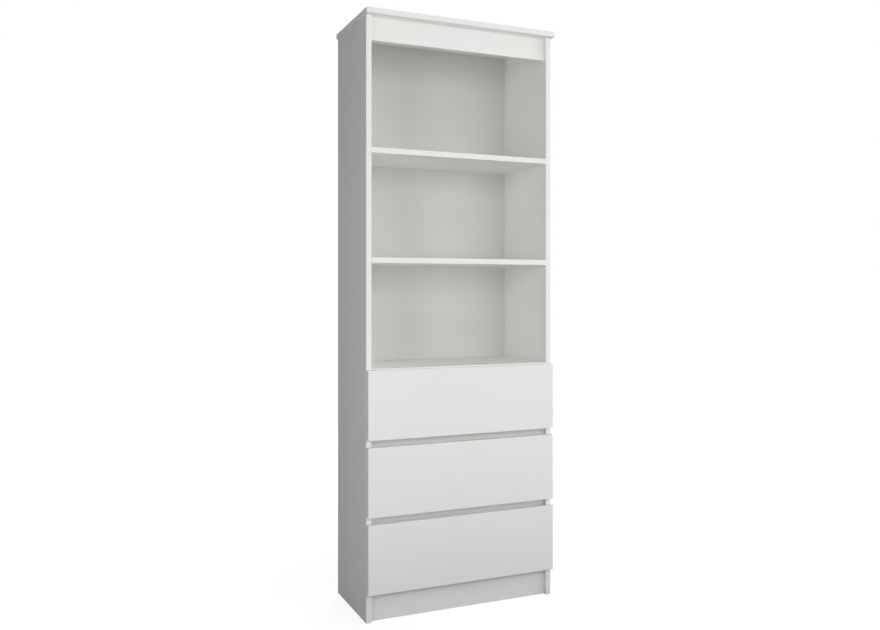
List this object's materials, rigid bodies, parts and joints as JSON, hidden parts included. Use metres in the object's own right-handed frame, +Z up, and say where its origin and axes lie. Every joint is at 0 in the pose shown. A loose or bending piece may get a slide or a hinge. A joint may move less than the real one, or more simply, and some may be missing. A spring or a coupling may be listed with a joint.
{
  "type": "bookcase with drawers",
  "caption": "Tall narrow white board bookcase with open shelf bays above handleless drawers on roller runners, and a recessed plinth.",
  "frame": {"origin": "on the floor, under the middle of the outline seen from above", "axes": "+Z up, front faces -Y, +X to the right of someone facing the front"},
  "size_m": [0.61, 0.3, 1.74],
  "materials": {
    "white_board": "white melamine-faced chipboard with white edge banding, satin",
    "back_hardboard": "thin hardboard, lacquered white on the inner face, raw brown on the outer face",
    "base_hardboard": "thin hardboard, lacquered white above, raw brown below",
    "runner_steel": "folded sheet steel, white epoxy powder coat",
    "roller_nylon": "moulded natural nylon",
    "fitting_zinc": "die-cast zinc cams and zinc-plated bolts",
    "screw_steel": "zinc-plated steel",
    "dowel_beech": "plain beech"
  },
  "bodies": {
    "carcass": {"side_panel_left": "white_board", "side_panel_right": "white_board", "top_panel": "white_board", "top_apron": "white_board", "upper_shelf": "white_board", "middle_shelf": "white_board", "drawer_deck": "white_board", "bottom_panel": "white_board", "plinth_board": "white_board", "upper_grip_rail": "white_board", "lower_grip_rail": "white_board", "back_panel": "back_hardboard", "carcass_cam_fittings": "fitting_zinc", "carcass_dowels": "dowel_beech", "top_cabinet_runner_left": "runner_steel", "top_cabinet_runner_right": "runner_steel", "middle_cabinet_runner_left": "runner_steel", "middle_cabinet_runner_right": "runner_steel", "bottom_cabinet_runner_left": "runner_steel", "bottom_cabinet_runner_right": "runner_steel"},
    "top_drawer": {"top_drawer_front": "white_board", "top_drawer_side_left": "white_board", "top_drawer_side_right": "white_board", "top_drawer_back": "white_board", "top_drawer_base": "base_hardboard", "top_drawer_runner_left": "runner_steel", "top_drawer_runner_right": "runner_steel", "top_drawer_cam_fittings": "fitting_zinc", "top_drawer_dowels": "dowel_beech", "top_drawer_case_screws": "screw_steel"},
    "top_front_rollers": {"top_cabinet_rollers": "roller_nylon"},
    "top_rear_rollers": {"top_drawer_rollers": "roller_nylon"},
    "middle_drawer": {"middle_drawer_front": "white_board", "middle_drawer_side_left": "white_board", "middle_drawer_side_right": "white_board", "middle_drawer_back": "white_board", "middle_drawer_base": "base_hardboard", "middle_drawer_runner_left": "runner_steel", "middle_drawer_runner_right": "runner_steel", "middle_drawer_cam_fittings": "fitting_zinc", "middle_drawer_dowels": "dowel_beech", "middle_drawer_case_screws": "screw_steel"},
    "middle_front_rollers": {"middle_cabinet_rollers": "roller_nylon"},
    "middle_rear_rollers": {"middle_drawer_rollers": "roller_nylon"},
    "bottom_drawer": {"bottom_drawer_front": "white_board", "bottom_drawer_side_left": "white_board", "bottom_drawer_side_right": "white_board", "bottom_drawer_back": "white_board", "bottom_drawer_base": "base_hardboard", "bottom_drawer_runner_left": "runner_steel", "bottom_drawer_runner_right": "runner_steel", "bottom_drawer_cam_fittings": "fitting_zinc", "bottom_drawer_dowels": "dowel_beech", "bottom_drawer_case_screws": "screw_steel"},
    "bottom_front_rollers": {"bottom_cabinet_rollers": "roller_nylon"},
    "bottom_rear_rollers": {"bottom_drawer_rollers": "roller_nylon"}
  },
  "joints": [
    {"name": "top_drawer_slide", "type": "slide", "parent": "carcass", "child": "top_drawer", "axis": [0, -1, 0], "range_m": [0, 0.2028]},
    {"name": "top_front_roller_spin", "type": "hinge", "parent": "carcass", "child": "top_front_rollers", "pos_m": [0, -0.114, 0.5537], "axis": [1, 0, 0], "continuous": true},
    {"name": "top_rear_roller_spin", "type": "hinge", "parent": "top_drawer", "child": "top_rear_rollers", "pos_m": [0, 0.109, 0.5518], "axis": [1, 0, 0], "continuous": true},
    {"name": "middle_drawer_slide", "type": "slide", "parent": "carcass", "child": "middle_drawer", "axis": [0, -1, 0], "range_m": [0, 0.2028]},
    {"name": "middle_front_roller_spin", "type": "hinge", "parent": "carcass", "child": "middle_front_rollers", "pos_m": [0, -0.114, 0.3357], "axis": [1, 0, 0], "continuous": true},
    {"name": "middle_rear_roller_spin", "type": "hinge", "parent": "middle_drawer", "child": "middle_rear_rollers", "pos_m": [0, 0.109, 0.3338], "axis": [1, 0, 0], "continuous": true},
    {"name": "bottom_drawer_slide", "type": "slide", "parent": "carcass", "child": "bottom_drawer", "axis": [0, -1, 0], "range_m": [0, 0.2028]},
    {"name": "bottom_front_roller_spin", "type": "hinge", "parent": "carcass", "child": "bottom_front_rollers", "pos_m": [0, -0.114, 0.1177], "axis": [1, 0, 0], "continuous": true},
    {"name": "bottom_rear_roller_spin", "type": "hinge", "parent": "bottom_drawer", "child": "bottom_rear_rollers", "pos_m": [0, 0.109, 0.1158], "axis": [1, 0, 0], "continuous": true}
  ],
  "couplings": [
    {"joint": "top_front_roller_spin", "follows": "top_drawer_slide", "rad_per_m": 100},
    {"joint": "top_rear_roller_spin", "follows": "top_drawer_slide", "rad_per_m": 103.09},
    {"joint": "middle_front_roller_spin", "follows": "middle_drawer_slide", "rad_per_m": 100},
    {"joint": "middle_rear_roller_spin", "follows": "middle_drawer_slide", "rad_per_m": 103.09},
    {"joint": "bottom_front_roller_spin", "follows": "bottom_drawer_slide", "rad_per_m": 100},
    {"joint": "bottom_rear_roller_spin", "follows": "bottom_drawer_slide", "rad_per_m": 103.09}
  ]
}
